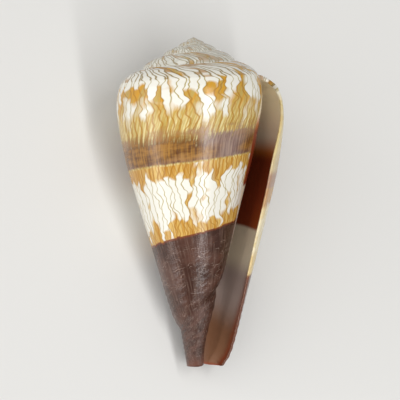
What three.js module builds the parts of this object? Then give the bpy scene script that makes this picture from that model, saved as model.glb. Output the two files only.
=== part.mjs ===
// A cone shell, the empty house of a sea snail, lying on its side.
// It grew as one piece: a wall of shell wound round an axis, so it is one solid here.
// The snail adds shell at the lip, and every turn is a smaller copy of the one after it.
// "age" counts turns back from the lip: 0 is the lip itself, 1 is one whole turn older.
// Lengths are millimetres. "depth" is measured along the axis, from the apex to the front tip.

import * as THREE from 'three';

// ---- driving dimensions ----
const LENGTH = 70;
const TURNS = 5.6;
const SHRINK = 0.19; // how fast a turn gets smaller with age
const SHRINK_MORE = 0.08; // and how much faster the oldest turns do
const APEX_ROUNDING = 0.8; // the last part of a turn that closes the apex

// Outline of the last turn, from its shoulder to its front end, as radius and depth at the lip.
const BODY_OUTLINE = [
  [17.7, 11.0],
  [18.6, 13.7],
  [18.9, 17.5],
  [18.5, 22.1],
  [16.9, 31.0],
  [13.8, 42.4],
  [9.5, 57.3],
  [6.7, 66.6],
  [4.8, 69.8],
];
const SPIRE_SLOPE = 0.55; // depth of the shoulder for each millimetre of its radius
const SPIRE_HOLLOW = 0.00424; // and for its square, which makes the spire's side slightly hollow
const RAMP_START = 15; // slope of the sutural ramp where it leaves the older turn, degrees
const RAMP_END = 60; // and where it rounds over the shoulder

// The front end, where the growing turn wraps round the column.
const TIP_RADIUS = 4.6;
const TIP_SPIRAL = 1.7;
const TIP_HOLLOW = 0.6;
const TIP_HOLLOW_FROM = 0.7; // ages between which the tip's face sinks in
const WAIST_FROM = 0.55; // and the front end of the turn gets its waist

// The back, opposite the aperture, is a little flatter than the rest, so the shell lies still on it.
const BACK_ANGLE = 105; // degrees round from the first direction of the growth frame
const BACK_WIDTH = 90;
const BACK_FLATTENING = 0.05; // of the radius

// The lip runs in one plane through the axis but hangs back at the shoulder and at the front end.
const LIP_ANGLE = -25;
const NOTCH_AT_SHOULDER = 22;
const NOTCH_ON_RAMP = 8;
const NOTCH_AT_FRONT = 12;
const NOTCH_END = 0.16;
const FRONT_NOTCH_START = 0.5;

// The living chamber winds in from the lip. The walls between its turns are thin.
const CHAMBER_TURNS = 1.1;
const LIP_THICKNESS = 0.6;
const WALL_THICKNESS = 2.3;
const INNER_THICKNESS = 0.7;
const WALL_THICKENS_BY = 0.12; // turns from the lip to the full thickness
const WALL_THINS = [0.45, 0.75]; // ages over which the snail has thinned the wall again
const CANAL_TURNS = 0.3; // the part of a turn over which the front end is open
const FLOOR_RISES_BY = 0.6; // the age at which the chamber's floor has left the front end
const FLOOR_REACH = { outer: 0.82, inner: 0.92 }; // of the way down each wall
const FLOOR_ROUNDING = 4; // rows
const ROOF_ROUNDING = 3; // rows
const ROOF_BULGE = 0.5;

// How the shell lies on its side.
const ROLL = -16; // degrees round the axis, which puts the lip's side up
const PITCH = 11.8; // degrees that the apex end stands higher
const WORN_FLAT = 0.55; // how deep the place on the back that it lies on is worn flat

// ---- fineness of the mesh ----
const STEPS_PER_TURN = 50;
const RAMP_ROWS = 4;
const BODY_ROWS = 18;
const FRONT_ROWS = 3;
const ROW_CROWDING = 1.3; // rows stand closer together near the shoulder

const SHOULDER_ROW = RAMP_ROWS;
const CHAMBER_TOP_ROW = SHOULDER_ROW + 1;
const FRONT_ROW = SHOULDER_ROW + BODY_ROWS;
const TIP_ROW = FRONT_ROW + FRONT_ROWS;
const LAST_STEP = Math.round(TURNS * STEPS_PER_TURN);
const CHAMBER_STEPS = Math.round(CHAMBER_TURNS * STEPS_PER_TURN);

const { clamp, degToRad, lerp, smoothstep } = THREE.MathUtils;
const outline = new THREE.SplineCurve(BODY_OUTLINE.map(([radius, depth]) => new THREE.Vector2(radius, depth)));
const outlineTop = outline.getPointAt(0);

// Size of a turn compared with the lip.
function scaleAt(age) {
  const nucleus = clamp((TURNS - age) / APEX_ROUNDING, 0, 1);
  return Math.exp(-SHRINK * age - SHRINK_MORE * age * age) * Math.sqrt(nucleus * (2 - nucleus));
}

function shoulderAt(age) {
  const radius = age < TURNS ? scaleAt(age) * outlineTop.x : 0;
  return new THREE.Vector2(radius, SPIRE_SLOPE * radius + SPIRE_HOLLOW * radius * radius);
}

// The ramp between the older turn's shoulder, along 0, and this turn's own, along 1.
function rampAt(age, along) {
  const suture = shoulderAt(age + 1);
  const shoulder = shoulderAt(age);
  const third = suture.distanceTo(shoulder) / 3;
  const start = new THREE.Vector2(third, 0).rotateAround(new THREE.Vector2(), degToRad(RAMP_START));
  const end = new THREE.Vector2(third, 0).rotateAround(new THREE.Vector2(), degToRad(RAMP_END));
  const curve = new THREE.CubicBezierCurve(suture, start.add(suture), shoulder.clone().sub(end), shoulder);
  return curve.getPoint(along);
}

// The outline below the shoulder, from along 0 to 1 at the front end of the turn.
function bodyAt(age, along) {
  return outline.getPointAt(along).sub(outlineTop).multiplyScalar(scaleAt(age)).add(shoulderAt(age));
}

// From the front end of the turn to the shell's tip, where all turns end.
function frontAt(age, along) {
  const end = bodyAt(age, 1);
  const tipRadius = TIP_RADIUS * (1 - Math.pow(Math.min(age, 1), TIP_SPIRAL));
  const tipDepth = LENGTH - TIP_HOLLOW * smoothstep(age, TIP_HOLLOW_FROM, 1);
  const straight = 1 - along;
  const waisted = Math.cos((along * Math.PI) / 2) ** 2;
  const shape = lerp(straight, waisted, smoothstep(age, WAIST_FROM, 1));
  return new THREE.Vector2(lerp(tipRadius, end.x, shape), lerp(end.y, tipDepth, along));
}

function rowCrowded(row) {
  return Math.pow((row - SHOULDER_ROW) / BODY_ROWS, ROW_CROWDING);
}

function outerAt(age, row) {
  if (row < SHOULDER_ROW) return rampAt(age, row / RAMP_ROWS);
  if (row <= FRONT_ROW) return bodyAt(age, rowCrowded(row));
  return frontAt(age, (row - FRONT_ROW) / FRONT_ROWS);
}

function wallThickness(age) {
  const full = lerp(LIP_THICKNESS, WALL_THICKNESS, smoothstep(age, 0, WALL_THICKENS_BY));
  return lerp(full, INNER_THICKNESS, smoothstep(age, ...WALL_THINS));
}

// Away from the lip the chamber's floor stands higher, so its rows end before the tip.
function floorRow(age, row, reach) {
  const share = lerp(1, reach, smoothstep(age, CANAL_TURNS, FLOOR_RISES_BY));
  return CHAMBER_TOP_ROW + (row - CHAMBER_TOP_ROW) * share;
}

// The chamber's inner wall is the outer surface of the turn before it.
function chamberInnerAt(age, row) {
  return outerAt(age + 1, floorRow(age, row, FLOOR_REACH.inner));
}

// Its outer wall lies one thickness of shell inside the outer surface.
function chamberOuterAt(age, row) {
  if (row < SHOULDER_ROW) {
    const along = row / RAMP_ROWS;
    const corner = chamberInnerAt(age, CHAMBER_TOP_ROW);
    const point = corner.lerp(chamberOuterAt(age, SHOULDER_ROW), along);
    point.y -= ROOF_BULGE * Math.sin(Math.PI * along);
    return point;
  }
  const thickness = wallThickness(age);
  const roof = 1 - smoothstep(row, SHOULDER_ROW, SHOULDER_ROW + ROOF_ROUNDING);
  const point = outerAt(age, Math.max(floorRow(age, row, FLOOR_REACH.outer), SHOULDER_ROW));
  point.x -= thickness;
  point.y += thickness * roof;
  const closing = smoothstep(age, 0, CANAL_TURNS) * smoothstep(row, TIP_ROW - FLOOR_ROUNDING, TIP_ROW);
  return point.lerp(chamberInnerAt(age, TIP_ROW), closing);
}

// How far, in degrees, the growing edge hangs back at a row.
function notchAt(row) {
  if (row < SHOULDER_ROW) {
    return NOTCH_AT_SHOULDER + NOTCH_ON_RAMP * Math.sin((Math.PI * row) / RAMP_ROWS);
  }
  const along = Math.min(rowCrowded(row), 1);
  const fading = (at) => 1 - smoothstep(at, -NOTCH_END, 2 * NOTCH_END);
  const atShoulder = (NOTCH_AT_SHOULDER * fading(along)) / fading(0);
  return atShoulder + NOTCH_AT_FRONT * smoothstep(along, FRONT_NOTCH_START, 1);
}

// The radius at an angle round the axis, as a share of what it would be on a round shell.
function roundness(angle) {
  const fromBack = THREE.MathUtils.euclideanModulo(angle - BACK_ANGLE + 180, 360) - 180;
  if (Math.abs(fromBack) > BACK_WIDTH / 2) return 1;
  return 1 - (BACK_FLATTENING * (1 + Math.cos((2 * Math.PI * fromBack) / BACK_WIDTH))) / 2;
}

// A point of the outline, turned to the place round the axis where it grew. The axis is Z, apex up.
function placed(outlinePoint, age, row) {
  const angle = LIP_ANGLE + 360 * age + notchAt(row);
  const radius = outlinePoint.x * roundness(angle);
  return [radius * Math.cos(degToRad(angle)), radius * Math.sin(degToRad(angle)), -outlinePoint.y];
}

// ---- the mesh ----
const vertices = [];
const triangles = [];
const known = new Map();

function vertex(name, makePoint) {
  if (!known.has(name)) {
    known.set(name, vertices.length / 3);
    vertices.push(...makePoint());
  }
  return known.get(name);
}

// A suture point is the shoulder of the turn before it, so both share one vertex.
function outer(step, row) {
  if (row === 0) return outer(step + STEPS_PER_TURN, SHOULDER_ROW);
  if (step >= LAST_STEP) return vertex('apex', () => [0, 0, 0]);
  if (row === TIP_ROW && step >= STEPS_PER_TURN) return vertex('tip', () => [0, 0, TIP_HOLLOW - LENGTH]);
  const age = step / STEPS_PER_TURN;
  return vertex(`outer ${step} ${row}`, () => placed(outerAt(age, row), age, row));
}

function chamberInner(step, row) {
  const age = step / STEPS_PER_TURN;
  if (age <= CANAL_TURNS || row === CHAMBER_TOP_ROW) return outer(step + STEPS_PER_TURN, row);
  return vertex(`inner ${step} ${row}`, () => placed(chamberInnerAt(age, row), age + 1, row));
}

function chamberOuter(step, row) {
  const age = step / STEPS_PER_TURN;
  if (row === 0) return chamberInner(step, CHAMBER_TOP_ROW);
  if (row === TIP_ROW && age >= CANAL_TURNS) return chamberInner(step, TIP_ROW);
  return vertex(`chamber ${step} ${row}`, () => placed(chamberOuterAt(age, row), age, row));
}

function triangle(a, b, c) {
  if (a !== b && b !== c && c !== a) triangles.push(a, b, c);
}

function quad(a, b, c, d) {
  triangle(a, b, c);
  triangle(a, c, d);
}

function surface(point, steps, rows) {
  for (let step = steps[0]; step < steps[1]; step += 1) {
    for (let row = rows[0]; row < rows[1]; row += 1) {
      quad(point(step, row), point(step, row + 1), point(step + 1, row + 1), point(step + 1, row));
    }
  }
}

// The outer surface: the ramps of all turns, and the last turn's side down to the tip.
surface(outer, [0, LAST_STEP], [0, SHOULDER_ROW]);
surface(outer, [0, STEPS_PER_TURN], [SHOULDER_ROW, TIP_ROW]);

// The chamber's two walls. The outer one faces the axis, so it is turned round.
surface(chamberInner, [0, CHAMBER_STEPS], [CHAMBER_TOP_ROW, TIP_ROW]);
const outwards = triangles.length;
surface(chamberOuter, [0, CHAMBER_STEPS], [0, TIP_ROW]);
triangles.push(...triangles.splice(outwards).reverse());

// The edge of the lip, and the wall that ends the chamber.
for (let row = 0; row < TIP_ROW; row += 1) {
  quad(outer(0, row + 1), outer(0, row), chamberOuter(0, row), chamberOuter(0, row + 1));
}
for (let row = 0; row < TIP_ROW; row += 1) {
  const innerRow = Math.max(row, CHAMBER_TOP_ROW);
  const nextInnerRow = Math.max(row + 1, CHAMBER_TOP_ROW);
  quad(
    chamberOuter(CHAMBER_STEPS, row + 1),
    chamberOuter(CHAMBER_STEPS, row),
    chamberInner(CHAMBER_STEPS, innerRow),
    chamberInner(CHAMBER_STEPS, nextInnerRow),
  );
}

// The end of the tip, round the open canal.
const canalSteps = CANAL_TURNS * STEPS_PER_TURN;
for (let step = 0; step < STEPS_PER_TURN; step += 1) {
  const canalEdge = (at) => chamberOuter(Math.min(at, canalSteps), TIP_ROW);
  quad(outer(step + 1, TIP_ROW), outer(step, TIP_ROW), canalEdge(step), canalEdge(step + 1));
}

const geometry = new THREE.BufferGeometry();
geometry.setAttribute('position', new THREE.Float32BufferAttribute(vertices, 3));
geometry.setIndex(triangles);

// ---- laid on its side ----
// Before it rolls and tips, the apex points to +Y and the lip's edge faces up.
const lay = new THREE.Matrix4().makeRotationX(-Math.PI / 2);
lay.premultiply(new THREE.Matrix4().makeRotationY(degToRad(ROLL)));
lay.premultiply(new THREE.Matrix4().makeRotationX(degToRad(PITCH)));
geometry.applyMatrix4(lay);
geometry.computeBoundingBox();
const box = geometry.boundingBox;
const centre = box.getCenter(new THREE.Vector3());
const table = box.min.z + WORN_FLAT;
const position = geometry.getAttribute('position');
for (let i = 0; i < position.count; i += 1) {
  position.setZ(i, Math.max(position.getZ(i), table));
}
geometry.translate(-centre.x, -centre.y, -table);
geometry.computeVertexNormals();

const material = new THREE.MeshStandardMaterial({ color: 0xe2d6bc, roughness: 0.3, metalness: 0 });
const shell = new THREE.Mesh(geometry, material);
shell.name = 'shell';

const cone = new THREE.Group();
cone.add(shell);

export default cone;
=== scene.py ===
import math

import bpy
from mathutils import Matrix, Vector


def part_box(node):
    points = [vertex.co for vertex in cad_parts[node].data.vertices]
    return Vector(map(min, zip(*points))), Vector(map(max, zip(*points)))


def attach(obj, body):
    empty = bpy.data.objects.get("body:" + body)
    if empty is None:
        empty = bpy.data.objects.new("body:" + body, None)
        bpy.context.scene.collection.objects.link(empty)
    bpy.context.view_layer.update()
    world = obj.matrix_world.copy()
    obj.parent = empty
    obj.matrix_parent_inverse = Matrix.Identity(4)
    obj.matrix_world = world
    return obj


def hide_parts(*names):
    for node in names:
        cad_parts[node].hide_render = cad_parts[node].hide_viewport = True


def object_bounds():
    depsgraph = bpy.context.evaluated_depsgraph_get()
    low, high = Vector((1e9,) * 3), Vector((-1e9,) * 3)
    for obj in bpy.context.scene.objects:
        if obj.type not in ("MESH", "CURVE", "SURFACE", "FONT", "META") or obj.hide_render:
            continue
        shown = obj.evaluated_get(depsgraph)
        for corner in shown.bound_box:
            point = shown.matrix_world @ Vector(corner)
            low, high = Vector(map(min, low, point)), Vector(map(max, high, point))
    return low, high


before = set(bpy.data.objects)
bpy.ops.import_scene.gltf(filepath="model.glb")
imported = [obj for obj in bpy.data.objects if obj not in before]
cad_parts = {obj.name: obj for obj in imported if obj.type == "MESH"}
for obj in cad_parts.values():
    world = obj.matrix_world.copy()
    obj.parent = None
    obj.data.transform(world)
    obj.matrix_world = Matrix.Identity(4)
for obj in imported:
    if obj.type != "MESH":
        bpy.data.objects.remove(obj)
cad_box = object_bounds()


# ======== The shell ========
# A cone shell is one wall of aragonite wound round an axis. The snail adds to it at the lip, so each
# turn is a smaller copy of the one after it. "Age" counts turns back from the lip, which is age 0, and
# "down" runs along the outline of a turn, from 0 at its shoulder to 1 at its front end.

MM = 0.001
TURNS = 5.6
LAST_POINT_DOWN = 7 / 6  # from the front end of a turn on to the tip of the shell
CHAMBER_TOP = 1 / 18  # where the chamber's roof meets the turn before it
OUTLINE_STRETCH = 1.3  # "down" moves slowly near the shoulder, where the outline bends most
CHAMBER_TURNS = 0.5

GROWTH_SIZES = {
    "Length": 70 * MM,
    "Shoulder radius": 17.7 * MM,
    "Shoulder depth": 11.0 * MM,
    "Shrink": 0.19,
    "Shrink more": 0.08,
    "Apex rounding": 0.8,
    "Spire slope": 0.55,
    "Spire hollow": 0.00424 / MM,
    "Tip radius": 4.6 * MM,
    "Tip spiral": 1.7,
    "Tip hollow": 0.6 * MM,
    "Lip angle": math.radians(-25),
    "Shoulder notch": math.radians(22),
    "Ramp notch": math.radians(8),
    "Front notch": math.radians(12),
    "Back angle": math.radians(105),
    "Back flattening": 0.05,
    "Lip thickness": 0.6 * MM,
    "Wall thickness": 2.3 * MM,
    "Roof bulge": 0.5 * MM,
    "Growth relief": 0.05 * MM,
    "Cord height": 0.07 * MM,
    "Cords": 44.0,
}
# Outline of the last turn at the lip, as radius and depth from the apex.
BODY_OUTLINE = [
    (17.7, 11.0),
    (18.6, 13.7),
    (18.9, 17.5),
    (18.5, 22.1),
    (16.9, 31.0),
    (13.8, 42.4),
    (9.5, 57.3),
    (6.7, 66.6),
    (4.8, 69.8),
]
RAMP_START = math.radians(15)
RAMP_END = math.radians(60)
BACK_WIDTH = math.radians(90)
RAMP_RIDGES = 0.03  # of the ramp's width

# Where a change along a turn, or round it, starts and ends.
RELIEF_STARTS = (0.0, 0.06)
RELIEF_ENDS = (1.08, 1.15)
CORDS_START = (0.74, 0.9)
TIP_HOLLOW_FROM = (0.7, 1.0)
WAIST_FROM = (0.55, 1.0)
WALL_THICKENS = (0.0, 0.12)
CHAMBER_CLOSES = (0.0, 0.3)
FLOOR_RISES = (0.3, 0.6)
FLOOR_REACH = 0.92
WALL_REACH = 0.82
NOTCH_FADES = (-0.16, 0.32)
NOTCH_AT_SHOULDER = 1.35  # a fading notch is scaled by this, to be full at the shoulder
FRONT_NOTCH_GROWS = (0.5, 1.0)
LIP_ROUNDING = 0.5  # of the lip's thickness
LIP_EDGE_AGE = -0.002

STEPS_PER_TURN = 220
ROWS_OF_DOWN = 144
RAMP_ROWS = 10
LIP_EDGE_ROWS = 8
END_ROWS = 4
OUTLINE_STEPS = 32
WELD = 0.0001 * MM


class Amount:
    """A number in a node tree. Ordinary arithmetic on it adds the nodes that work it out."""

    def __init__(self, tree, socket):
        self.tree = tree
        self.socket = socket

    def worked(self, operation, *others, clamp=False):
        node = self.tree.nodes.new("ShaderNodeMath")
        node.operation = operation
        node.use_clamp = clamp
        feed(self.tree, node.inputs, (self, *others))
        return Amount(self.tree, node.outputs[0])

    def __add__(self, other):
        return self.worked("ADD", other)

    def __sub__(self, other):
        return self.worked("SUBTRACT", other)

    def __rsub__(self, other):
        return self.worked("MULTIPLY", -1.0).worked("ADD", other)

    def __mul__(self, other):
        return self.worked("MULTIPLY", other)

    def __truediv__(self, other):
        return self.worked("DIVIDE", other)

    def __pow__(self, other):
        return self.worked("POWER", other)

    __radd__ = __add__
    __rmul__ = __mul__

    def least(self, other):
        return self.worked("MINIMUM", other)

    def most(self, other):
        return self.worked("MAXIMUM", other)

    def above(self, other):
        return self.worked("GREATER_THAN", other)

    def clamped(self):
        return self.worked("ADD", 0.0, clamp=True)

    def eased(self, low, high):
        """0 below low, 1 above high, and a smooth step between them."""
        node = self.tree.nodes.new("ShaderNodeMapRange")
        node.interpolation_type = "SMOOTHSTEP"
        feed(self.tree, [node.inputs[n] for n in ("Value", "From Min", "From Max")], (self, low, high))
        return Amount(self.tree, node.outputs["Result"])

    def towards(self, other, share):
        return self + (other - self) * share


def steady(value, beside):
    """A plain value as an Amount, in the same tree as another."""
    return beside * 0 + value


def feed(tree, sockets, values):
    """Gives each socket its value, as a link or as a number."""
    for socket, value in zip(sockets, values):
        if isinstance(value, Amount):
            tree.links.new(value.socket, socket)
        else:
            socket.default_value = value


def vector_of(tree, x, y, z=0.0):
    node = tree.nodes.new("ShaderNodeCombineXYZ")
    feed(tree, node.inputs, (x, y, z))
    return node.outputs[0]


def noise_at(tree, x, y, detail=2.0, roughness=0.5, seed=0.0):
    """Smooth noise around 0.5, at a place on the grown surface."""
    node = tree.nodes.new("ShaderNodeTexNoise")
    node.inputs["Scale"].default_value = 1.0
    node.inputs["Detail"].default_value = detail
    node.inputs["Roughness"].default_value = roughness
    tree.links.new(vector_of(tree, x, y, seed), node.inputs["Vector"])
    return Amount(tree, node.outputs[0])


def outline_curve():
    """The outline of the last turn as a curve, radius along X and depth along Y."""
    curve = bpy.data.curves.new("turn outline", "CURVE")
    spline = curve.splines.new("POLY")
    spline.points.add(len(BODY_OUTLINE) - 1)
    for point, (radius, depth) in zip(spline.points, BODY_OUTLINE):
        point.co = (radius * MM, depth * MM, 0, 1)
    holder = bpy.data.objects.new("turn outline", curve)
    bpy.context.scene.collection.objects.link(holder)
    return holder


# The kinds of the inlets that aren't plain numbers.
SOCKET_OF = {
    "Outline": "NodeSocketObject",
    "Outer finish": "NodeSocketMaterial",
    "Chamber finish": "NodeSocketMaterial",
}


def taken_in(tree, name):
    """Something that a node tree takes in, such as one of the shell's sizes."""
    if name not in [item.name for item in tree.interface.items_tree if item.in_out == "INPUT"]:
        kind = SOCKET_OF.get(name, "NodeSocketFloat")
        tree.interface.new_socket(name, in_out="INPUT", socket_type=kind)
    inlet = next(node for node in tree.nodes if node.type == "GROUP_INPUT")
    return inlet.outputs[name]


def size(beside, name):
    """One of the shell's named sizes, in the same tree as another amount."""
    return Amount(beside.tree, taken_in(beside.tree, name))


groups = {}


def new_group(name):
    group = bpy.data.node_groups.new(name, "GeometryNodeTree")
    group.nodes.new("NodeGroupInput")
    return group


def grouped(work):
    """Makes a node group of a function, once, and puts that group in a tree wherever it is called."""
    given = work.__code__.co_varnames[: work.__code__.co_argcount]  # the names of its amounts

    def make_group():
        group = new_group(work.__name__.replace("_", " "))
        results = work(*(Amount(group, taken_in(group, name)) for name in given))
        outlet = group.nodes.new("NodeGroupOutput")
        results = results if isinstance(results, tuple) else (results,)
        for index, result in enumerate(results):
            is_amount = isinstance(result, Amount)
            kind = "NodeSocketFloat" if is_amount else "NodeSocketVector"
            group.interface.new_socket(f"result {index + 1}", in_out="OUTPUT", socket_type=kind)
            group.links.new(result.socket if is_amount else result, outlet.inputs[index])
        return group

    def use_group(*values):
        if work.__name__ not in groups:
            groups[work.__name__] = make_group()
        tree = next(value.tree for value in values if isinstance(value, Amount))
        node = tree.nodes.new("GeometryNodeGroup")
        node.node_tree = groups[work.__name__]
        feed(tree, [node.inputs[name] for name in given], values)
        for socket in node.inputs[len(given) :]:
            tree.links.new(taken_in(tree, socket.name), socket)
        outputs = [o if o.type == "VECTOR" else Amount(tree, o) for o in node.outputs]
        return tuple(outputs) if len(outputs) > 1 else outputs[0]

    return use_group


@grouped
def outline_point(along):
    """A point of the outline of the last turn, a share of its length along it."""
    tree = along.tree
    info = tree.nodes.new("GeometryNodeObjectInfo")
    tree.links.new(taken_in(tree, "Outline"), info.inputs["Object"])
    smooth = tree.nodes.new("GeometryNodeCurveSplineType")
    smooth.spline_type = "CATMULL_ROM"
    tree.links.new(info.outputs["Geometry"], smooth.inputs["Curve"])
    fine = tree.nodes.new("GeometryNodeSetSplineResolution")
    fine.inputs["Resolution"].default_value = OUTLINE_STEPS
    tree.links.new(smooth.outputs["Curve"], fine.inputs["Geometry"])
    sample = tree.nodes.new("GeometryNodeSampleCurve")
    sample.mode = "FACTOR"
    tree.links.new(fine.outputs["Geometry"], sample.inputs["Curves"])
    feed(tree, [sample.inputs["Factor"]], [along])
    place = tree.nodes.new("ShaderNodeSeparateXYZ")
    tree.links.new(sample.outputs["Position"], place.inputs[0])
    return Amount(tree, place.outputs["X"]), Amount(tree, place.outputs["Y"])


@grouped
def turn_size(age):
    """How big a turn is, compared with the lip."""
    nucleus = ((TURNS - age) / size(age, "Apex rounding")).clamped()
    shrunk = (age * (age * size(age, "Shrink more") + size(age, "Shrink")) * -1.0).worked("EXPONENT")
    return shrunk * (nucleus * (2 - nucleus)).worked("SQRT")


@grouped
def shoulder_at(age):
    radius = turn_size(age) * size(age, "Shoulder radius")
    return radius, radius * (radius * size(age, "Spire hollow") + size(age, "Spire slope"))


@grouped
def relief_at(age, down):
    """Growth ridges all over, broad waves, and spiral cords towards the front end."""
    ridges = noise_at(age.tree, age * 150, down * 4, detail=3) - 0.5
    waves = noise_at(age.tree, age * 9, down * 5, detail=1, seed=4) - 0.5
    below_shoulder = down.eased(*RELIEF_STARTS)
    before_tip = 1 - down.eased(*RELIEF_ENDS)
    cord_wander = noise_at(age.tree, age * 12, down * 6, seed=9) * 0.7
    cords = ((down * size(age, "Cords") + cord_wander) * math.tau).worked("SINE")
    cord_zone = down.eased(*CORDS_START) * before_tip
    grown = (ridges + waves * 3) * below_shoulder * before_tip * size(age, "Growth relief")
    return grown + cords * cord_zone * size(age, "Cord height")


@grouped
def side_at(age, down):
    """The side of a turn below its shoulder, and on to the tip of the shell."""
    scale = turn_size(age)
    radius, depth = shoulder_at(age)
    outline_radius, outline_depth = outline_point(down.least(1.0) ** OUTLINE_STRETCH)
    radius = radius + (outline_radius - size(age, "Shoulder radius")) * scale
    depth = depth + (outline_depth - size(age, "Shoulder depth")) * scale
    front = ((down - 1) / (LAST_POINT_DOWN - 1)).clamped()
    tip_radius = size(age, "Tip radius") * (1 - age.least(1.0) ** size(age, "Tip spiral"))
    tip_depth = size(age, "Length") - size(age, "Tip hollow") * age.eased(*TIP_HOLLOW_FROM)
    waist = (front * (math.pi / 2)).worked("COSINE") ** 2
    shape = (1 - front).towards(waist, age.eased(*WAIST_FROM))
    radius = tip_radius + (radius - tip_radius) * shape + relief_at(age, down)
    return radius, depth.towards(tip_depth, front)


@grouped
def ramp_at(age, across):
    """The ramp of the spire, between the older turn's shoulder and this turn's own."""
    old_radius, old_depth = shoulder_at(age + 1)
    new_radius, new_depth = shoulder_at(age)
    width = ((new_radius - old_radius) ** 2 + (new_depth - old_depth) ** 2).worked("SQRT")
    left = 1 - across
    weights = (left**3, across * left**2 * 3, across**2 * left * 3, across**3)

    def blended(start, lift, drop, end):
        knots = (start, start + width * (lift / 3), end - width * (drop / 3), end)
        return sum((knot * weight for knot, weight in zip(knots, weights)), 0.0)

    hump = (across * math.pi).worked("SINE") * width * RAMP_RIDGES
    ridges = noise_at(age.tree, age * 90, across * 2, detail=3, seed=2) - 0.5
    radius = blended(old_radius, math.cos(RAMP_START), math.cos(RAMP_END), new_radius)
    depth = blended(old_depth, math.sin(RAMP_START), math.sin(RAMP_END), new_depth)
    return radius, depth + hump * ridges


def chamber_floor(age, down, reach):
    """Away from the lip the chamber's floor stands higher than the tip."""
    share = 1 - age.eased(*FLOOR_RISES) * (1 - reach)
    return (down - CHAMBER_TOP) * share + CHAMBER_TOP


@grouped
def chamber_inner_at(age, down):
    """The chamber's inner wall, which is the outside of the turn before."""
    return side_at(age + 1, chamber_floor(age, down, FLOOR_REACH))


@grouped
def chamber_outer_at(age, down):
    """The chamber's outer wall, one thickness of shell inside the outer surface."""
    thickening = age.eased(*WALL_THICKENS)
    thickness = size(age, "Lip thickness").towards(size(age, "Wall thickness"), thickening)
    radius, depth = side_at(age, chamber_floor(age, down, WALL_REACH).most(0.0))
    radius = radius - thickness
    depth = depth + thickness * (1 - down.eased(0.0, 1 / 6))
    end_radius, end_depth = chamber_inner_at(age, LAST_POINT_DOWN)
    closing = age.eased(*CHAMBER_CLOSES) * down.eased(1 - CHAMBER_TOP, LAST_POINT_DOWN)
    return radius.towards(end_radius, closing), depth.towards(end_depth, closing)


@grouped
def roof_at(age, across):
    """The chamber's roof, from the turn before it to the outer wall."""
    corner_radius, corner_depth = chamber_inner_at(age, CHAMBER_TOP)
    wall_radius, wall_depth = chamber_outer_at(age, 0.0)
    bulge = (across * math.pi).worked("SINE") * size(age, "Roof bulge")
    return corner_radius.towards(wall_radius, across), corner_depth.towards(wall_depth, across) - bulge


@grouped
def side_notch(down):
    """How far round the growing edge hangs back, below the shoulder."""
    along = down.clamped() ** OUTLINE_STRETCH
    fading = (1 - along.eased(*NOTCH_FADES)) * NOTCH_AT_SHOULDER
    growing = along.eased(*FRONT_NOTCH_GROWS)
    return fading * size(down, "Shoulder notch") + growing * size(down, "Front notch")


@grouped
def ramp_notch(across):
    deepening = (across * math.pi).worked("SINE")
    return deepening * size(across, "Ramp notch") + size(across, "Shoulder notch")


@grouped
def roof_notch(across):
    at_corner = size(across, "Shoulder notch") - side_notch(steady(CHAMBER_TOP, across))
    return ramp_notch(across) - at_corner * (1 - across) ** 2


@grouped
def placed(radius, depth, age, notch, ahead):
    """Turns an outline point round the axis to where it grew. The axis is Y, with the apex up."""
    angle = age * math.tau + size(age, "Lip angle") + notch
    from_back = angle - size(age, "Back angle") + math.pi
    from_back = from_back.worked("FLOORED_MODULO", math.tau) - math.pi
    near_back = (from_back * (math.tau / BACK_WIDTH)).most(-math.pi).least(math.pi)
    flatter = (near_back.worked("COSINE") + 1) * 0.5 * size(age, "Back flattening")
    angle = angle - radius.most(WELD) ** -1.0 * ahead
    radius = radius * (1 - flatter)
    across = radius * angle.worked("COSINE")
    towards_viewer = radius * angle.worked("SINE") * -1.0
    return vector_of(age.tree, across, depth * -1.0, towards_viewer)


def between(first, second, share):
    return tuple(a.towards(b, share) for a, b in zip(first, second))


def share_down(down):
    """The share of the outline's length at a row of the side, and from 1 to 2 on the front end."""
    return down.least(1.0) ** OUTLINE_STRETCH + (down - 1).most(0.0) / (LAST_POINT_DOWN - 1)


# Each surface of the shell gives its place and its mark, which is its age and share down.
@grouped
def ramp(age, across):
    mark = vector_of(age.tree, age, across - 1)
    return placed(*ramp_at(age, across), age, ramp_notch(across), 0.0), mark


@grouped
def outside(age, down):
    mark = vector_of(age.tree, age, share_down(down))
    return placed(*side_at(age, down), age, side_notch(down), 0.0), mark


@grouped
def chamber_inside(age, down):
    mark = vector_of(age.tree, age + 1, share_down(down))
    return placed(*chamber_inner_at(age, down), age, side_notch(down), 0.0), mark


@grouped
def chamber_outside(age, down):
    mark = vector_of(age.tree, age, share_down(down))
    return placed(*chamber_outer_at(age, down), age, side_notch(down), 0.0), mark


@grouped
def roof(age, across):
    mark = vector_of(age.tree, age, across - 1)
    return placed(*roof_at(age, across), age, roof_notch(across), 0.0), mark


@grouped
def lip_side(share, down):
    """The rounded edge of the lip, from its outer face, share 0, to its inner face."""
    lip = steady(0, down)
    point = between(side_at(lip, down), chamber_outer_at(lip, down), share)
    rounding = (share * math.pi).worked("SINE") * (1 - down.eased(1.0, 1.1))
    ahead = rounding * size(down, "Lip thickness") * LIP_ROUNDING
    mark = vector_of(down.tree, share * LIP_EDGE_AGE, share_down(down))
    return placed(*point, lip, side_notch(down), ahead), mark


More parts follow.
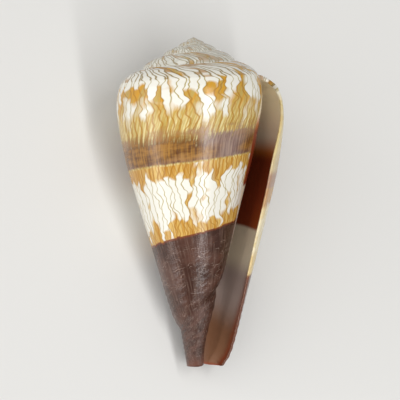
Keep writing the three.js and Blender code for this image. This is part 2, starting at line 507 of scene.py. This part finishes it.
@grouped
def lip_ramp(share, across):
    """The same edge on the ramp. It ends flat on the turn before."""
    lip = steady(0, across)
    held = (1 - across) ** 3
    on_older = side_at(lip + 1, share * CHAMBER_TOP)
    straight = between(side_at(lip + 1, 0.0), side_at(lip + 1, CHAMBER_TOP), share)
    point = between(ramp_at(lip, across), roof_at(lip, across), share)
    point = tuple(p + (a - b) * held for p, a, b in zip(point, on_older, straight))
    notch = ramp_notch(across).towards(roof_notch(across), share)
    straight_notch = side_notch(lip).towards(side_notch(lip + CHAMBER_TOP), share)
    notch = notch + (side_notch(share * CHAMBER_TOP) - straight_notch) * held
    rounding = (share * math.pi).worked("SINE") * across.eased(0.0, 0.4)
    ahead = rounding * size(across, "Lip thickness") * LIP_ROUNDING
    return placed(*point, lip, notch, ahead), vector_of(across.tree, share * LIP_EDGE_AGE, across - 1)


@grouped
def tip_end(age, share):
    """The blunt front end, between the outer surface and the mouth of the chamber."""
    inner_end = chamber_outer_at(age.least(CHAMBER_CLOSES[1]), LAST_POINT_DOWN)
    point = between(side_at(age, LAST_POINT_DOWN), inner_end, share)
    notch = side_notch(steady(LAST_POINT_DOWN, age))
    return placed(*point, age, notch, 0.0), vector_of(age.tree, age, 2.0)


@grouped
def end_side(share, down):
    """The wall that closes the chamber where it is too dark to see further."""
    age = steady(CHAMBER_TURNS, down)
    kept = down.most(CHAMBER_TOP)
    point = between(chamber_outer_at(age, down), chamber_inner_at(age, kept), share)
    notch = side_notch(down).towards(side_notch(kept), share)
    return placed(*point, age, notch, 0.0), vector_of(down.tree, CHAMBER_TURNS, share_down(down))


@grouped
def end_roof(share, across):
    """The part of that wall under the chamber's roof."""
    age = steady(CHAMBER_TURNS, across)
    point = between(roof_at(age, across), chamber_inner_at(age, CHAMBER_TOP), share)
    notch = roof_notch(across).towards(side_notch(steady(CHAMBER_TOP, across)), share)
    return placed(*point, age, notch, 0.0), vector_of(across.tree, CHAMBER_TURNS, across - 1)


growth = new_group("shell growth")
growth.interface.new_socket("Geometry", in_out="OUTPUT", socket_type="NodeSocketGeometry")


def grown_sheet(surface, counts, xs, ys, finish, turned):
    """A sheet of the surface: a grid, its points put where they grew and marked for the colours."""
    grid = growth.nodes.new("GeometryNodeMeshGrid")
    feed(growth, grid.inputs, (1, 1, counts[0] + 1, counts[1] + 1))
    where = growth.nodes.new("GeometryNodeInputPosition")
    parts = growth.nodes.new("ShaderNodeSeparateXYZ")
    growth.links.new(where.outputs[0], parts.inputs[0])
    x, y = (
        (Amount(growth, parts.outputs[axis]) + 0.5) * (span[1] - span[0]) + span[0]
        for axis, span in (("X", xs), ("Y", ys))
    )
    place, mark = surface(x, y)
    marked = growth.nodes.new("GeometryNodeStoreNamedAttribute")
    marked.data_type = "FLOAT2"
    marked.domain = "CORNER"
    marked.inputs["Name"].default_value = "growth"
    growth.links.new(grid.outputs["Mesh"], marked.inputs["Geometry"])
    growth.links.new(mark, marked.inputs["Value"])
    moved = growth.nodes.new("GeometryNodeSetPosition")
    growth.links.new(marked.outputs[0], moved.inputs["Geometry"])
    growth.links.new(place, moved.inputs["Position"])
    coloured = growth.nodes.new("GeometryNodeSetMaterial")
    growth.links.new(moved.outputs[0], coloured.inputs["Geometry"])
    growth.links.new(taken_in(growth, finish), coloured.inputs["Material"])
    if not turned:
        return coloured.outputs[0]
    flipped = growth.nodes.new("GeometryNodeFlipFaces")
    growth.links.new(coloured.outputs[0], flipped.inputs[0])
    return flipped.outputs[0]


ROWS_TO_TIP = round(ROWS_OF_DOWN * LAST_POINT_DOWN)
ROWS_INSIDE = ROWS_TO_TIP - round(ROWS_OF_DOWN * CHAMBER_TOP)
CHAMBER_COLUMNS = round(STEPS_PER_TURN * CHAMBER_TURNS)
TO_TIP = (0, LAST_POINT_DOWN)
BELOW_ROOF = (CHAMBER_TOP, LAST_POINT_DOWN)
WHOLE = (0, 1)
IN_CHAMBER = (0, CHAMBER_TURNS)
OUTER = "Outer finish"
INNER = "Chamber finish"
sheets = [
    grown_sheet(ramp, (round(TURNS * STEPS_PER_TURN), RAMP_ROWS), (0, TURNS), WHOLE, OUTER, True),
    grown_sheet(outside, (STEPS_PER_TURN, ROWS_TO_TIP), WHOLE, TO_TIP, OUTER, True),
    grown_sheet(chamber_inside, (CHAMBER_COLUMNS, ROWS_INSIDE), IN_CHAMBER, BELOW_ROOF, INNER, True),
    grown_sheet(chamber_outside, (CHAMBER_COLUMNS, ROWS_TO_TIP), IN_CHAMBER, TO_TIP, INNER, False),
    grown_sheet(roof, (CHAMBER_COLUMNS, RAMP_ROWS), IN_CHAMBER, WHOLE, INNER, False),
    grown_sheet(lip_side, (LIP_EDGE_ROWS, ROWS_TO_TIP), WHOLE, TO_TIP, OUTER, False),
    grown_sheet(lip_ramp, (LIP_EDGE_ROWS, RAMP_ROWS), WHOLE, WHOLE, OUTER, False),
    grown_sheet(tip_end, (STEPS_PER_TURN, LIP_EDGE_ROWS), WHOLE, WHOLE, OUTER, True),
    grown_sheet(end_side, (END_ROWS, ROWS_TO_TIP), WHOLE, TO_TIP, INNER, False),
    grown_sheet(end_roof, (END_ROWS, RAMP_ROWS), WHOLE, WHOLE, INNER, False),
]
joined = growth.nodes.new("GeometryNodeJoinGeometry")
for sheet in sheets:
    growth.links.new(sheet, joined.inputs["Geometry"])
welded = growth.nodes.new("GeometryNodeMergeByDistance")
welded.inputs["Distance"].default_value = WELD
growth.links.new(joined.outputs[0], welded.inputs["Geometry"])
smooth = growth.nodes.new("GeometryNodeSetShadeSmooth")
growth.links.new(welded.outputs[0], smooth.inputs["Geometry"])
realized = growth.nodes.new("GeometryNodeRealizeInstances")
growth.links.new(smooth.outputs[0], realized.inputs["Geometry"])
growth_out = growth.nodes.new("NodeGroupOutput")
growth.links.new(realized.outputs[0], growth_out.inputs["Geometry"])


# -------- its colours --------
def paint(red, green, blue):
    """A colour from a swatch, 0 to 255, as the renderer needs it."""
    return tuple((c / 255) ** 2.2 for c in (red, green, blue)) + (1.0,)


def mixed(share, first, second):
    """The first colour where share is 0, the second where it is 1."""
    tree = share.tree
    node = tree.nodes.new("ShaderNodeMix")
    node.data_type = "RGBA"
    feed(tree, [node.inputs["Factor"]], [share])
    for socket, colour in ((node.inputs[6], first), (node.inputs[7], second)):
        if isinstance(colour, tuple):
            socket.default_value = colour
        else:
            tree.links.new(colour, socket)
    return node.outputs[2]


def new_finish(name):
    """A material, with the age and the share down of each point of the surface."""
    finish = bpy.data.materials.new(name)
    finish.use_nodes = True
    tree = finish.node_tree
    where = tree.nodes.new("ShaderNodeUVMap")
    where.uv_map = "growth"
    parts = tree.nodes.new("ShaderNodeSeparateXYZ")
    tree.links.new(where.outputs[0], parts.inputs[0])
    return finish, Amount(tree, parts.outputs["X"]), Amount(tree, parts.outputs["Y"])


def finished(finish, colour, roughness, height, height_mm):
    """Gives a material its colour, its gloss and its finest relief."""
    tree = finish.node_tree
    shader = next(n for n in tree.nodes if n.type == "BSDF_PRINCIPLED")
    tree.links.new(colour, shader.inputs["Base Color"])
    feed(tree, [shader.inputs["Roughness"]], [roughness])
    shader.inputs["IOR"].default_value = 1.5
    bump = tree.nodes.new("ShaderNodeBump")
    bump.inputs["Distance"].default_value = height_mm * MM
    feed(tree, [bump.inputs["Height"]], [height])
    tree.links.new(bump.outputs[0], shader.inputs["Normal"])


WHITE = paint(228, 225, 214)
WORN = paint(176, 174, 160)
CREAM = paint(216, 200, 142)
TAN = paint(182, 154, 82)
STAINED_TAN = paint(186, 140, 58)
FLAME = paint(201, 146, 40)
LINE_ON_WHITE = paint(158, 138, 60)
LINE_ON_FLAME = paint(160, 106, 22)
BAND_DARK = paint(84, 44, 20)
BAND_LIGHT = paint(158, 112, 52)
VIOLET_DARK = paint(116, 92, 92)
VIOLET_PALE = paint(156, 136, 128)
OCHRE = paint(186, 134, 52)
OCHRE_PALE = paint(208, 170, 92)
BROWN_STAIN = paint(150, 92, 44)
BASE_DARK = paint(58, 34, 24)
BASE_PALE = paint(84, 56, 46)
BASE_GRAIN = paint(120, 96, 84)
BASE_RIM = paint(134, 66, 30)
SCRATCH = paint(176, 152, 138)
SPECK = paint(200, 130, 60)
TIP_END = paint(118, 72, 56)
RAMP_BLOT = paint(172, 122, 56)
RAMP_LINE = paint(132, 108, 52)
STRIP = paint(222, 202, 150)
STRIP_BAND = paint(176, 136, 106)
STRIP_FRONT = paint(220, 200, 150)
STRIP_BASE = paint(112, 70, 52)
BAND_EDGE = 0.377  # where the dark band ends, as a length below the shoulder
BASE_EDGE = 0.702  # where the dark base starts

outer, age, down = new_finish("shell outside")
tree = outer.node_tree
# One step on the ramp is a tenth as long as on the side, so the pattern is a tenth as dense there.
length = down.most(0.0) * 1.055 + down.least(0.0) * 0.12


def wandering_lines(per_turn, seed):
    """Fine lines from shoulder to front. Each sways on its own, so neighbours meet and part.
    Gives the distance to the nearest one, the gap between lines that a point is in, and the point's
    own place, all in line spacings."""
    lean = down.most(-1.0).least(0.0) * 7.0 + length.most(0.0).least(0.2) * 16.0
    shared = noise_at(tree, age * 9, length * 12, detail=1, seed=seed + 1) * 2.6
    place = (age + 10) * per_turn - lean + shared
    first = place.worked("FLOOR")
    calm = 1 - length.eased(0.08, 0.2) * (1 - length.eased(0.4, 0.5)) * 0.55
    nearest, gap = None, first
    for step in (-1, 0, 1):
        number = first + step
        sway = noise_at(tree, number * 7.31, length * 13, detail=0, seed=seed) - 0.5
        wiggle = noise_at(tree, number * 3.17, length * 46, detail=0, seed=seed + 2) - 0.5
        line = number + 0.5 + (sway * 2.0 + wiggle * 0.8) * calm
        away = (place - line).worked("ABSOLUTE")
        nearest = away if nearest is None else nearest.least(away)
        gap = gap + place.above(line)
    return nearest, gap, place


def patchy(x, y, level, softness, seed):
    """1 where smooth noise is above a level, 0 where it is below, with an edge as soft as asked."""
    noise = noise_at(tree, x, y, seed=seed)
    return ((noise - level) / softness + 0.5).clamped()


near, gap, place = wandering_lines(64, 3)
between_lines, _, _ = wandering_lines(97, 60)
faint = noise_at(tree, gap * 1.7, length * 24, detail=1, seed=6).eased(0.35, 0.6)
snapped = gap.towards(place, 0.35)
fine_streak = noise_at(tree, age * 190, length * 7, detail=3, seed=7)
soft_streak = noise_at(tree, age * 70, length * 6, detail=2, seed=8)

# Above the dark band: white, with flames that start below the shoulder and run together.
crowding = (noise_at(tree, age * 7, length * 3, detail=1, seed=61) - 0.5) * 0.22
flame_level = 0.61 - length.eased(-0.02, 0.06) * 0.12 - length.eased(0.1, 0.27) * 0.2 - crowding
flame_edge = length.eased(0.05, 0.2) * 0.1 + 0.05
flame = patchy(snapped * 0.42, length * 5.5, flame_level, flame_edge, 5)
ground = mixed(fine_streak.eased(0.38, 0.62), CREAM, TAN)
ground = mixed(length.eased(0.07, 0.2), mixed(soft_streak.eased(0.4, 0.6), FLAME, TAN), ground)
upper = mixed(flame, WHITE, ground)
upper = mixed(length.eased(0.14, 0.27) * fine_streak.eased(0.4, 0.6) * 0.8, upper, TAN)
stained = (1 - between_lines.eased(0.05, 0.22)) * flame.most(length.eased(0.16, 0.26))
upper = mixed(stained * 0.55, upper, STAINED_TAN)
line = (1 - near.eased(0.02, 0.14)) * (faint * 0.45 + 0.55)
bold_line = (1 - near.eased(0.04, 0.22)) * 0.7
upper = mixed(line.towards(bold_line, flame), upper, mixed(flame, LINE_ON_WHITE, LINE_ON_FLAME))

# The dark band, in blocks, soft at the shoulder side and sharp at the front side.
blocks = noise_at(tree, age * 14, length * 24, detail=3, roughness=0.6, seed=11)
rows = noise_at(tree, age * 3, length * 80, detail=1, seed=14)
plaid = blocks * 0.5 + fine_streak * 0.42 + rows * 0.08
strength = length.eased(0.17, 0.33) * 0.9 + (plaid - 0.5) * 2.6
band_edge = BAND_EDGE + (soft_streak - 0.5) * 0.012
in_band = ((band_edge - length) / 0.008).clamped() * length.eased(0.17, 0.23)
band = mixed(plaid.eased(0.4, 0.6), BAND_DARK, BAND_LIGHT)
violet = patchy(age * 5 + 3, length * 4, 0.53, 0.16, 13) * length.eased(0.2, 0.25) * 0.85
band = mixed(violet, band, mixed(fine_streak.eased(0.35, 0.65), VIOLET_DARK, VIOLET_PALE))
upper = mixed(in_band * strength.eased(0.1, 0.7) * 0.95, upper, band)

# In front of the band: ochre, then white with tongues of ochre, then the fringe of the dark base.
tongue_level = 0.34 + length.eased(0.385, 0.48) * 0.26 - length.eased(0.6, 0.695) * 0.22
tongue = patchy(snapped * 0.55, length * 7, tongue_level, 0.07, 21)
ochre = mixed(soft_streak.eased(0.38, 0.62), OCHRE_PALE, OCHRE)
ochre = mixed(fine_streak.eased(0.45, 0.7) * 0.5, ochre, CREAM)
lower = mixed(tongue, WHITE, ochre)
lower = mixed(line.towards(bold_line, tongue), lower, mixed(tongue, LINE_ON_WHITE, LINE_ON_FLAME))
lower = mixed((1 - between_lines.eased(0.05, 0.2)) * tongue * 0.5, lower, LINE_ON_FLAME)
stain = patchy(gap * 0.5, length * 2 + 5, 0.66, 0.04, 23) * (1 - length.eased(0.44, 0.5))
lower = mixed(stain * 0.7, lower, BROWN_STAIN)
colour = mixed(((length - band_edge) / 0.006).clamped(), upper, lower)

# The dark base, with a red-brown rim, paler growth scratches and small orange specks.
base_edge = BASE_EDGE + (noise_at(tree, gap * 0.35, 0.0, seed=31) - 0.5) * 0.035
in_base = ((length - base_edge) / 0.004).clamped()
grain = noise_at(tree, age * 120, length * 10, detail=4, seed=32)
cloud = noise_at(tree, age * 7, length * 9, detail=2, seed=33)
base = mixed(cloud.eased(0.35, 0.65), BASE_DARK, BASE_PALE)
base = mixed(grain.eased(0.45, 0.75) * 0.5, base, BASE_GRAIN)
arc_wander = noise_at(tree, age * 20, length * 22, detail=2, seed=34) * 6
arcs = ((length * 92 + arc_wander) * math.tau).worked("SINE")
kept_here = noise_at(tree, age * 26, length * 40, detail=2, seed=35).eased(0.5, 0.62)
scratch = arcs.eased(0.86, 1.0) * kept_here
base = mixed(scratch * length.eased(0.72, 0.8) * 0.7, base, SCRATCH)
speck = patchy(age * 110, length * 150, 0.74, 0.04, 36) * (1 - length.eased(0.78, 0.86))
base = mixed(speck, base, SPECK)
base = mixed(1 - ((length - base_edge) / 0.014).clamped(), base, BASE_RIM)
base = mixed(length.eased(1.85, 2.1) * 0.5, base, TIP_END)
colour = mixed(in_base, colour, base)

# The spire is worn towards its apex.
wear = noise_at(tree, age * 40, down * 3, detail=3, seed=38).eased(0.35, 0.6)
on_ramp = 1 - down.eased(-0.06, 0.0)
blot = patchy(gap * 0.5, down * 1.6, 0.57, 0.06, 39) * on_ramp
colour = mixed(blot * 0.75, colour, RAMP_BLOT)
ramp_line = (1 - near.eased(0.05, 0.26)) * on_ramp
colour = mixed(ramp_line * 0.8, colour, RAMP_LINE)
colour = mixed(on_ramp * age.eased(0.6, 2.4) * (wear * 0.5 + 0.15), colour, WORN)

# The last strip the snail made is plainer than the rest.
fresh = 1 - age.eased(0.005, 0.085)
strip = mixed(length.eased(0.3, 0.33), STRIP, STRIP_BAND)
strip = mixed(length.eased(0.43, 0.46), strip, STRIP_FRONT)
strip = mixed(length.eased(0.69, 0.71), strip, STRIP_BASE)
colour = mixed(fresh * down.eased(0.0, 0.05) * 0.7, colour, strip)

striae = noise_at(tree, age * 260, length * 6, detail=3, seed=41)
finished(outer, colour, 0.24, striae + arcs * in_base * 0.2, 0.04)

# The cream at the top of the inside is the shell's own cream, painted near white as painted light to
# make up for the shade under the chamber's roof.
INSIDE_CREAM = paint(250, 238, 210)
INSIDE_ORANGE = paint(196, 116, 52)
INSIDE_RED = paint(136, 62, 38)
INSIDE_RIM = paint(168, 84, 36)
INSIDE_PALE = paint(234, 220, 192)
INSIDE_GREY = paint(178, 158, 148)
INSIDE_FRONT = paint(132, 94, 70)
INSIDE_LOW_RIM = paint(118, 54, 34)
INSIDE_TIP = paint(136, 70, 46)

inner, age, down = new_finish("shell inside")
tree = inner.node_tree
# The inside starts from the cream top, which carries painted light against the shade under the roof.
inside = mixed(down.eased(0.17, 0.245), INSIDE_CREAM, INSIDE_ORANGE)
inside = mixed(down.eased(0.225, 0.27), inside, INSIDE_RED)
near_rim = (1 - age.eased(0.02, 0.14)) * down.eased(0.4, 0.5)
inside = mixed(near_rim, inside, INSIDE_RIM)
inside = mixed(down.eased(0.508, 0.524), inside, INSIDE_PALE)
inside = mixed(down.eased(0.62, 0.7), inside, INSIDE_GREY)
inside = mixed(down.eased(0.76, 0.9), inside, INSIDE_FRONT)
low_rim = (1 - age.eased(0.01, 0.07)) * down.eased(0.6, 0.7)
inside = mixed(low_rim, inside, INSIDE_LOW_RIM)
inside = mixed(down.eased(1.3, 1.9), inside, INSIDE_TIP)
ripple = noise_at(tree, age * 60, down * 3, detail=1, seed=51)
finished(inner, inside, 0.28, ripple, 0.05)


# -------- grown, laid on its side and put in its place --------
outline_holder = outline_curve()
cone = bpy.data.objects.new("cone_shell", bpy.data.meshes.new("cone_shell"))
bpy.context.scene.collection.objects.link(cone)
modifier = cone.modifiers.new("growth", "NODES")
modifier.node_group = growth
inlets = [item for item in growth.interface.items_tree if item.in_out == "INPUT"]
socket_of = {inlet.name: inlet.identifier for inlet in inlets}
modifier[socket_of["Outline"]] = outline_holder
modifier[socket_of["Outer finish"]] = outer
modifier[socket_of["Chamber finish"]] = inner
for size_name, value in GROWTH_SIZES.items():
    modifier[socket_of[size_name]] = value
bpy.context.view_layer.update()
grown = bpy.data.meshes.new_from_object(cone.evaluated_get(bpy.context.evaluated_depsgraph_get()))
cone.modifiers.clear()
cone.data = grown
bpy.data.objects.remove(outline_holder)

ROLL = math.radians(-16)
PITCH = math.radians(11.8)
WORN_FLAT = 0.55 * MM
laid = Matrix.Rotation(PITCH, 4, "X") @ Matrix.Rotation(ROLL, 4, "Y")
grown.transform(laid)
# A shell that lies on its side is worn flat there.
worn_down_to = min(v.co.z for v in grown.vertices) + WORN_FLAT
for v in grown.vertices:
    v.co.z = max(v.co.z, worn_down_to)
low, high = (Vector(pick(v.co[i] for v in grown.vertices) for i in range(3)) for pick in (min, max))
cad_low, cad_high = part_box("shell")
middle_of_shell = (cad_low + cad_high) / 2
shift = middle_of_shell - (low + high) / 2
shift.z = cad_low.z - low.z
grown.transform(Matrix.Translation(shift))
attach(cone, "root")
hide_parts("shell")


# ======== The table it lies on, the light and the camera ========
# The shell lies on a sheet of pale card. Two narrow softboxes run along it, and a broad one hangs above.
# The camera looks down on it, square to its axis.
floor_mesh = bpy.data.meshes.new("floor")
reach = 1.0
floor_corners = [(-reach, -reach, 0), (reach, -reach, 0), (reach, reach, 0), (-reach, reach, 0)]
floor_mesh.from_pydata(floor_corners, [], [(0, 1, 2, 3)])
floor = bpy.data.objects.new("floor", floor_mesh)
bpy.context.scene.collection.objects.link(floor)
card = bpy.data.materials.new("pale card")
card.use_nodes = True
card_shader = next(n for n in card.node_tree.nodes if n.type == "BSDF_PRINCIPLED")
card_shader.inputs["Base Color"].default_value = paint(214, 213, 210)
card_shader.inputs["Roughness"].default_value = 0.9
floor_mesh.materials.append(card)


def softbox(name, towards, distance, width, length, watts):
    """A lit rectangle that faces the shell, its length along the shell."""
    lamp = bpy.data.lights.new(name, "AREA")
    lamp.shape = "RECTANGLE"
    lamp.size = width
    lamp.size_y = length
    lamp.energy = watts
    holder = bpy.data.objects.new(name, lamp)
    bpy.context.scene.collection.objects.link(holder)
    away = (laid @ Vector(towards)).normalized()
    across = (laid @ Vector((0, 1, 0))).cross(away).normalized()
    axes = Matrix((across, away.cross(across), away)).transposed().to_4x4()
    holder.matrix_world = Matrix.Translation(middle_of_shell + away * distance) @ axes
    return holder


softbox("left softbox", (-0.97, 0.0, 0.4), distance=0.6, width=0.12, length=0.8, watts=1.7)
softbox("right softbox", (0.5, -0.25, 1.0), distance=0.6, width=0.05, length=0.9, watts=2.6)
ceiling = softbox("ceiling", (-0.2, 0.1, 1.0), distance=1.3, width=2.2, length=2.2, watts=12.0)
ceiling.visible_glossy = False

ROOM_LIGHT = 0.32
PALER_WHERE_SEEN = 0.35
world = bpy.data.worlds.new("room")
world.use_nodes = True
room = world.node_tree
room.nodes["Background"].inputs["Color"].default_value = (1, 1, 1, 1)
seen_directly = room.nodes.new("ShaderNodeLightPath").outputs["Is Camera Ray"]
brightness = Amount(room, seen_directly) * PALER_WHERE_SEEN + ROOM_LIGHT
feed(room, [room.nodes["Background"].inputs["Strength"]], [brightness])
bpy.context.scene.world = world

camera = bpy.data.cameras.new("camera")
camera.lens = 200
camera.sensor_width = 36
camera.clip_start = 0.01
viewer = bpy.data.objects.new("camera", camera)
bpy.context.scene.collection.objects.link(viewer)
tilt = math.radians(2.0)
lean = math.radians(1.4)
back = (laid @ Vector((0, math.sin(tilt), math.cos(tilt)))).normalized()
up = laid @ Vector((math.sin(lean), math.cos(lean), 0))
side = up.cross(back).normalized()
up = back.cross(side)
aim = middle_of_shell - side * (1.4 * MM)
camera_distance = 0.47
axes = Matrix((side, up, back)).transposed().to_4x4()
viewer.matrix_world = Matrix.Translation(aim + back * camera_distance) @ axes
bpy.context.scene.camera = viewer
bpy.context.scene.view_settings.view_transform = "Standard"
